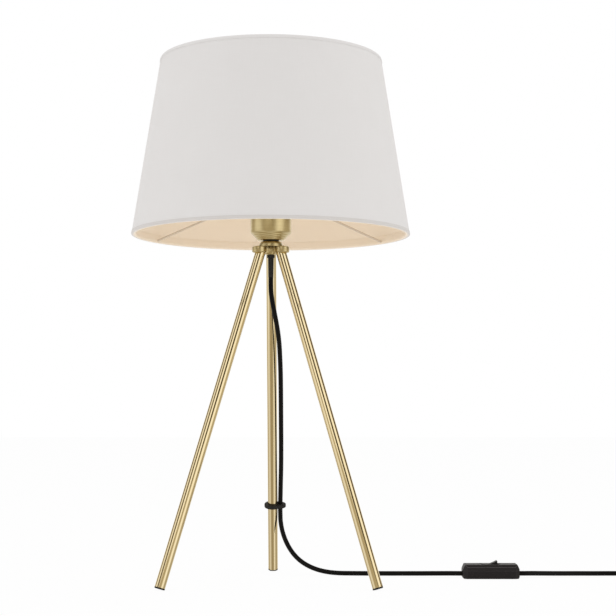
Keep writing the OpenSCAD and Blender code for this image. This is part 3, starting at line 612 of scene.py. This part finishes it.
def mapCloth(bm):
    # metres round the shade at its middle, and metres up it; the jump is under the lap
    middleR = (shade["lowR"] + shade["topR"]) / 2
    layer = bm.loops.layers.uv.new("cloth")
    for face in bm.faces:
        centre = face.calc_center_median()
        toward = math.atan2(centre.x, -centre.y)
        for loop in face.loops:
            spot = loop.vert.co
            turn = math.atan2(spot.x, -spot.y) - toward
            turn = (turn + math.pi) % math.tau - math.pi + toward
            loop[layer].uv = (turn * middleR, spot.z)
    return bm


def wallOutline(outer, inner, low, high):
    heights = [low + (high - low) * k / shade["rings"] for k in range(shade["rings"] + 1)]
    return ([(wallR(z, outer), z) for z in heights]
            + [(wallR(z, inner), z) for z in reversed(heights)])


def makeWall(name, finish, node, outer, inner):
    low, high = shade["lowZ"] + shade["hemT"], shade["topZ"] - shade["hemT"]
    bm = mapCloth(lathe(wallOutline(outer, inner, low, high), shade["around"]))
    return finishPiece(bm, name, finish, "shade", [node])


def makeHem(name, finish, node, edge, up):
    # the edge rolled over the wire and glued up the lining: up is 1 below, and -1 at the top
    t, wall = shade["hemT"], shade["hemT"] + shade["clothT"] + shade["filmT"]
    reach = hem["wireD"] + 2 * hem["wireGap"]
    back, bend, glued = wall + reach, t + hem["bendUp"] * reach, wall + hem["glue"]
    places = hem["roll"] + [
        (0, hem["up"]), (t, hem["up"]), (t, t), (back, t), (back, bend),
        (glued, hem["flapUp"]), (glued + hem["flapT"], hem["flapUp"]),
        (back - hem["swell"][0], bend + hem["swell"][1]), (back + t, bend),
        (back + hem["heel"], 0),
    ]
    corners = [(wallR(edge + up * height, depth), edge + up * height)
               for depth, height in places]
    bm = mapCloth(lathe(rounded(corners, hem["cornerR"]), shade["around"]))
    inward = bm.verts.layers.float.new("inward")
    for v in bm.verts:
        depth, height = wallR(v.co.z) - math.hypot(v.co.x, v.co.y), (v.co.z - edge) * up
        backed = depth > hem["backedDepth"] or height > hem["backedHeight"]
        v[inward] = 1.0 if backed else 0.0
    return finishPiece(bm, name, finish, "shade", [node], hem["crease"])


def makeLap():
    # the cloth's two ends overlap down the back: a thin strip with soft edges
    bm = bmesh.new()
    low, high = shade["lowZ"] + hem["up"], shade["topZ"] - hem["up"]
    bmesh.ops.create_grid(bm, x_segments=lap["across"], y_segments=shade["rings"], size=0.5)
    for v in bm.verts:
        z = low + (v.co.y + 0.5) * (high - low)
        side = v.co.x * 2
        # one edge is glued down flat, the other stands a hair proud
        r = wallR(z, shade["hemT"] - lap["t"] * min(1, (1 - side) * lap["feather"]))
        turn = side * lap["half"] / wallR(z)
        v.co = (r * math.sin(turn), r * math.cos(turn), z)
    bmesh.ops.recalc_face_normals(bm, faces=bm.faces)
    if next(iter(bm.faces)).normal.y < 0:
        bmesh.ops.reverse_faces(bm, faces=bm.faces)
    bmesh.ops.solidify(bm, geom=bm.faces, thickness=-lap["wall"])
    return finishPiece(mapCloth(bm), "clothLap", "shadeCloth", "shade")


filmOuter = shade["hemT"] + shade["clothT"]
clothWall = makeWall("clothWall", "shadeCloth", "shade_fabric", shade["hemT"], filmOuter)
filmWall = makeWall("filmWall", "liningFilm", "shade_liner",
                    filmOuter + shade["bond"], filmOuter + shade["filmT"])
lowHem = makeHem("lowHem", "hemCloth", "shade_low_hem", shade["lowZ"], 1)
topHem = makeHem("topHem", "rimCloth", "shade_top_hem", shade["topZ"], -1)
clothLap = makeLap()
for piece in (clothWall, filmWall, lowHem, topHem, clothLap):
    piece.visible_glossy = False  # the legs mirror the studio, right up to the hub
print("shade made")

# ---- stand ----

leg = {"r": 5.5 * mm, "wall": 1.0 * mm, "footR": 129.2 * mm, "slope": 0.33,
       "from": 2.69 * mm, "to": 372.45 * mm, "edge": 0.3 * mm, "around": 96}


def makeLeg(name, node, azimuth):
    inner, low, high = leg["r"] - leg["wall"], leg["from"], leg["to"]
    tube = rounded([(leg["r"], low), (leg["r"], high), (inner, high), (inner, low)], leg["edge"])
    bm = lathe(tube, leg["around"])
    grain = bm.verts.layers.float_vector.new("grain")
    for v in bm.verts:
        v[grain] = v.co + Vector((azimuth, 0, 0))  # no two legs have the same hairs
    out = Matrix.Rotation(math.radians(azimuth), 4, "Z") @ Matrix.Translation((0, -leg["footR"], 0))
    lean = Matrix.Rotation(-math.atan(leg["slope"]), 4, "X")
    bmesh.ops.transform(bm, matrix=out @ lean, verts=bm.verts)
    return finishPiece(bm, name, "drawnBrass", "stand", [node])


makeLeg("legTubeLeft", "leg_front_left", -60)
makeLeg("legTubeRight", "leg_front_right", 60)
makeLeg("legTubeBack", "leg_back", 180)
softened("hub", "hubBrass", 0.25 * mm, "hubTrefoil", 2, 40)
softened("dome_collar", "domeBrass", 0.15 * mm, "domeCollar", 2, 40)
softened("holder_cup", "cupBrass", 0.12 * mm, "holderCup", 2, 25)
softened("cable_clip", "blackRubber", 0.2 * mm, "cableClip", 2, 40)
print("stand made")

# ---- bulb ----

bulb = {
    "around": 128, "crease": 50,
    "globeR": 30 * mm, "neckR": 14.5 * mm, "hollowR": 45 * mm, "glass": 1 * mm,
    "stemR": 11.8 * mm, "gap": 0.5 * mm, "chamfer": (0.4 * mm, 0.5 * mm), "innerDrop": 2 * mm,
    "hollowSteps": 20, "topSteps": 48,
}
cap = {
    "crestR": 13.2 * mm, "rootR": 12.35 * mm, "pitch": 3.63 * mm, "shell": 0.3 * mm,
    "threadFrom": 2.0 * mm, "threadTo": 4.4 * mm,  # over the cap's foot, and under its top
    "waveSteps": 10, "turnSteps": 48, "weld": 0.01 * mm,
    # radius and height in millimetres: the collar's from the cap's top, the seat's from its foot
    "collar": [(13.0, -5.6), (13.1, -2.0), (13.7, -0.6), (13.7, 0), (12.85, 0), (12.7, -5.6)],
    "seat": [(10.8, 0), (11.4, 0), (12.85, 3.5), (11.95, 3.5), (10.8, 1.0)],
}


def arc(centre, r, start, end, steps):
    return [(centre[0] + r * math.cos(math.radians(a)), centre[1] + r * math.sin(math.radians(a)))
            for a in (start + (end - start) * k / steps for k in range(steps + 1))]


def globeLine(inward):
    # a neck, a hollow curve and the round top, met smoothly
    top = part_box("bulb_globe")[1].z
    r, hollow = bulb["globeR"] - inward, bulb["hollowR"] + inward
    across = bulb["neckR"] - inward + hollow
    middle = top - bulb["globeR"]
    drop = math.sqrt((hollow + r) ** 2 - across ** 2)
    turn = math.degrees(math.atan2(drop, across))
    return (arc((across, middle - drop), hollow, 180, 180 - turn, bulb["hollowSteps"])[:-1]
            + arc((0, middle), r, -turn, 90, bulb["topSteps"]))


def makeGlobe():
    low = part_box("bulb_globe")[0].z
    outer, inner = globeLine(0), globeLine(bulb["glass"])
    neck, waist = bulb["stemR"], outer[0][0]
    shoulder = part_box("holder_sleeve")[1].z + bulb["gap"]
    outline = [(neck - bulb["glass"], low), (neck, low), (neck, shoulder),
               (waist - bulb["chamfer"][0], shoulder), (waist, shoulder + bulb["chamfer"][1]),
               *outer, *inner[::-1], (neck - bulb["glass"], inner[0][1] - bulb["innerDrop"])]
    finishPiece(lathe(outline, bulb["around"]), "globeGlass", "opalGlass", "bulb",
                ["bulb_globe"], bulb["crease"])


def capRing(name, outline, base, radius):
    ring = rounded([(r * mm, base + z * mm) for r, z in outline], radius)
    finishPiece(lathe(ring, bulb["around"]), name, "nickel", "bulb")


def makeCap():
    # rolled shell: one wave of the thread, wound up round the axis
    low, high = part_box("bulb_cap")[0].z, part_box("bulb_cap")[1].z
    start, end = low + cap["threadFrom"], high - cap["threadTo"]
    turns = math.ceil((end - start) / cap["pitch"]) + 1
    bm = bmesh.new()
    wave = []
    for part in (k / cap["waveSteps"] for k in range(cap["waveSteps"] + 1)):
        swell = 0.5 - 0.5 * math.cos(math.tau * part)
        r = cap["rootR"] + (cap["crestR"] - cap["rootR"]) * swell
        wave.append(bm.verts.new((r, 0, start + cap["pitch"] * (part - 1))))
    lines = [bm.edges.new(pair) for pair in zip(wave, wave[1:])]
    bmesh.ops.spin(bm, geom=wave + lines, cent=(0, 0, 0), axis=(0, 0, 1),
                   angle=math.tau * turns, dvec=(0, 0, cap["pitch"] / cap["turnSteps"]),
                   steps=turns * cap["turnSteps"])
    bmesh.ops.remove_doubles(bm, verts=bm.verts, dist=cap["weld"])
    for z, up in ((start, -1), (end, 1)):
        bmesh.ops.bisect_plane(bm, geom=bm.verts[:] + bm.edges[:] + bm.faces[:],
                               plane_co=(0, 0, z), plane_no=(0, 0, up), clear_outer=True)
    bmesh.ops.recalc_face_normals(bm, faces=bm.faces)
    bmesh.ops.solidify(bm, geom=bm.faces, thickness=cap["shell"])
    finishPiece(bm, "capThread", "nickel", "bulb", ["bulb_cap"], bulb["crease"])
    capRing("capCollar", cap["collar"], high, 0.3 * mm)
    capRing("capSeat", cap["seat"], low, 0.2 * mm)


makeGlobe()
makeCap()
softened("shade_ring", "whitePlastic", 0.3 * mm, "shadeRing", 2, 40)
softened("holder_sleeve", "whitePlastic", 0.2 * mm, "holderSleeve", 2, 40)
print("bulb and holder made")

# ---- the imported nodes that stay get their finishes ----

kept = {
    "brightBrass": ["leg_inserts", "centre_contact", "side_contact", "screw_shell",
                    "switch_bridge", "switch_contacts"],
    "zincSteel": ["threaded_nipple", "lock_nut", "leg_studs", "terminal_screws", "switch_screws"],
    "nickel": ["bulb_tip", "plug_pins"],
    "blackPlastic": ["insulating_washer", "cord_gland", "bulb_insulator", "pin_sleeves"],
    "blackRubber": ["foot_cap_front_left", "foot_cap_front_right", "foot_cap_back"],
    "coreSheath": ["core_wires"],
    "ceramic": ["terminal_block"],
    "whiteWire": ["shade_fitter", "shade_spokes", "shade_low_wire", "shade_top_wire"],
    "clearGlass": ["bulb_stem"],
    "phosphor": ["bulb_filaments"],
}
for finish, nodes in kept.items():
    for node in nodes:
        mesh = frame["nodes"][node].data
        mesh.materials.clear()
        mesh.materials.append(finishes[finish])

# ---- studio ----

studio = {
    "fill": (0.84, 0.835, 0.83), "backdrop": (1.0, 1.0, 1.0),
    "floorSize": 9, "floorTone": (0.9, 0.9, 0.9), "floorGlow": 0.95,
    # what bright metal sees round it, by degrees to the right of the camera
    "bands": [(-180, "light"), (-142, "light"), (-124, "dark"), (-104, "dark"), (-90, "light"),
              (-66, "light"), (-54, "dark"), (-36, "dark"), (-27, "key"), (-6, "key"),
              (4, "deep"), (25, "deep"), (38, "key"), (72, "key"), (90, "dark"), (126, "dark"),
              (142, "light"), (180, "light")],
    # and lower down, where only the upright faces of the cup look
    "lowBands": [(-180, "light"), (-142, "light"), (-126, "mid"), (-108, "half"),
                 (-94, "light"), (-60, "light"), (-42, "mid"), (20, "mid"), (38, "key"),
                 (58, "key"), (84, "half"), (124, "half"), (142, "light"), (180, "light")],
    # the heights, as sines, at which one gives way to the other and then to the ceiling
    "bandFrom": 0.13, "bandFull": 0.17, "ceilingFrom": 0.70, "ceilingFull": 0.90,
    "groundFrom": -0.4, "groundFull": -0.05, "under": 0.8, "ceiling": (0.40, 0.34, 0.22),
}
tones = {"dark": (0.12, 0.085, 0.04), "deep": (0.07, 0.05, 0.015), "light": (1.0, 0.985, 0.95),
         "key": (1.2, 1.18, 1.13), "half": (0.57, 0.51, 0.39), "mid": (0.50, 0.435, 0.31)}
lamps = [
    {"name": "leftSoftbox", "at": (-2.1, -0.7, 1.1), "size": 1.3, "watts": 5.2,
     "tint": (0.97, 0.985, 1.0), "aim": (0, 0, 0.35)},
    {"name": "rightSoftbox", "at": (2.1, -0.6, 1.1), "size": 1.3, "watts": 5.4,
     "tint": (0.97, 0.985, 1.0), "aim": (0, 0, 0.35)},
    {"name": "topSoftbox", "at": (0.1, -0.4, 2.2), "size": 1.2, "watts": 2.5,
     "tint": (1.0, 0.98, 0.95), "aim": (0, 0, 0.35)},
    {"name": "floorBounce", "at": (0.0, -0.1, 0.008), "size": 0.6, "watts": 0.5,
     "tint": (1.0, 0.97, 0.93), "aim": (0.0, -0.1, 1.0)},
]


def opaque(colour):
    return (*colour, 1.0)


def climb(board, height, start, full, least=0.0):
    return board.add("ShaderNodeMapRange", sockets={"Value": height, "From Min": start,
                                                    "From Max": full, "To Min": least})


def bandRamp(board, turn, bands):
    stops = [((degrees + 180) / 360, opaque(tones[tone])) for degrees, tone in bands]
    return board.add("ShaderNodeValToRGB", {"ease": "EASE", "stops": stops}, {0: turn})


def seenStraight(board):
    # the rays that come from the camera, and those that go on through glass
    path = board.add("ShaderNodeLightPath", out="Is Camera Ray")
    return path, path.via("MAXIMUM", board.beside(path, "Is Transmission Ray"))


def lightWorld():
    world = bpy.data.worlds.new("studio")
    scene.world = world
    world.use_nodes = True
    board = Board(world.node_tree)
    x, y, z = board.split(board.add("ShaderNodeTexCoord", out="Generated"))
    turn = x.via("ARCTAN2", y * -1.0) * (0.5 / math.pi) + 0.5
    high, low = (bandRamp(board, turn, studio[key]) for key in ("bands", "lowBands"))
    ground = climb(board, z, studio["groundFrom"], studio["groundFull"], studio["under"])
    mirrored = board.tint(ground, opaque((0.0, 0.0, 0.0)), low)
    rise = climb(board, z, studio["bandFrom"], studio["bandFull"])
    mirrored = board.tint(rise, mirrored, high)
    rise = climb(board, z, studio["ceilingFrom"], studio["ceilingFull"])
    mirrored = board.tint(rise, mirrored, opaque(studio["ceiling"]))
    path, seen = seenStraight(board)
    plain = board.tint(seen, opaque(studio["fill"]), opaque(studio["backdrop"]))
    colour = board.tint(board.beside(path, "Is Glossy Ray"), plain, mirrored)
    board.feed(world.node_tree.nodes["Background"].inputs["Color"], colour)


def layFloor():
    bm = bmesh.new()
    bmesh.ops.create_grid(bm, x_segments=1, y_segments=1, size=studio["floorSize"])
    mesh = bpy.data.meshes.new("floor")
    bm.to_mesh(mesh)
    bm.free()
    floor = bpy.data.objects.new("floor", mesh)
    scene.collection.objects.link(floor)
    material, board, _ = newFinish("paperFloor", {"Base Color": opaque(studio["floorTone"]),
                                                  "Roughness": 1.0, "Specular IOR Level": 0.0})
    nodes = material.node_tree.nodes
    matt = Wire(board, nodes["Principled BSDF"].outputs[0])
    glow = board.add("ShaderNodeEmission",
                     sockets={"Color": opaque(studio["backdrop"]), "Strength": 1.0})
    _, seen = seenStraight(board)
    mixed = board.add("ShaderNodeMixShader",
                      sockets={0: seen * studio["floorGlow"], 1: matt, 2: glow})
    # seen from underneath, the floor isn't there
    below = board.add("ShaderNodeNewGeometry", out="Backfacing")
    clearPaper = board.add("ShaderNodeBsdfTransparent")
    shown = board.add("ShaderNodeMixShader", sockets={0: below, 1: mixed, 2: clearPaper})
    board.feed(nodes["Material Output"].inputs["Surface"], shown)
    mesh.materials.append(material)
    floor.visible_glossy = False


def hangLamps():
    for lamp in lamps:
        data = bpy.data.lights.new(lamp["name"], "AREA")
        data.shape, data.size = "SQUARE", lamp["size"]
        data.energy, data.color = lamp["watts"], lamp["tint"]
        light = bpy.data.objects.new(lamp["name"], data)
        light.location = lamp["at"]
        aim = Vector(lamp["aim"]) - Vector(lamp["at"])
        light.rotation_euler = aim.to_track_quat("-Z", "Y").to_euler()
        light.visible_glossy = light.visible_camera = False
        scene.collection.objects.link(light)


lightWorld()
layFloor()
hangLamps()
scene.view_settings.view_transform = "Standard"
print("studio lit")
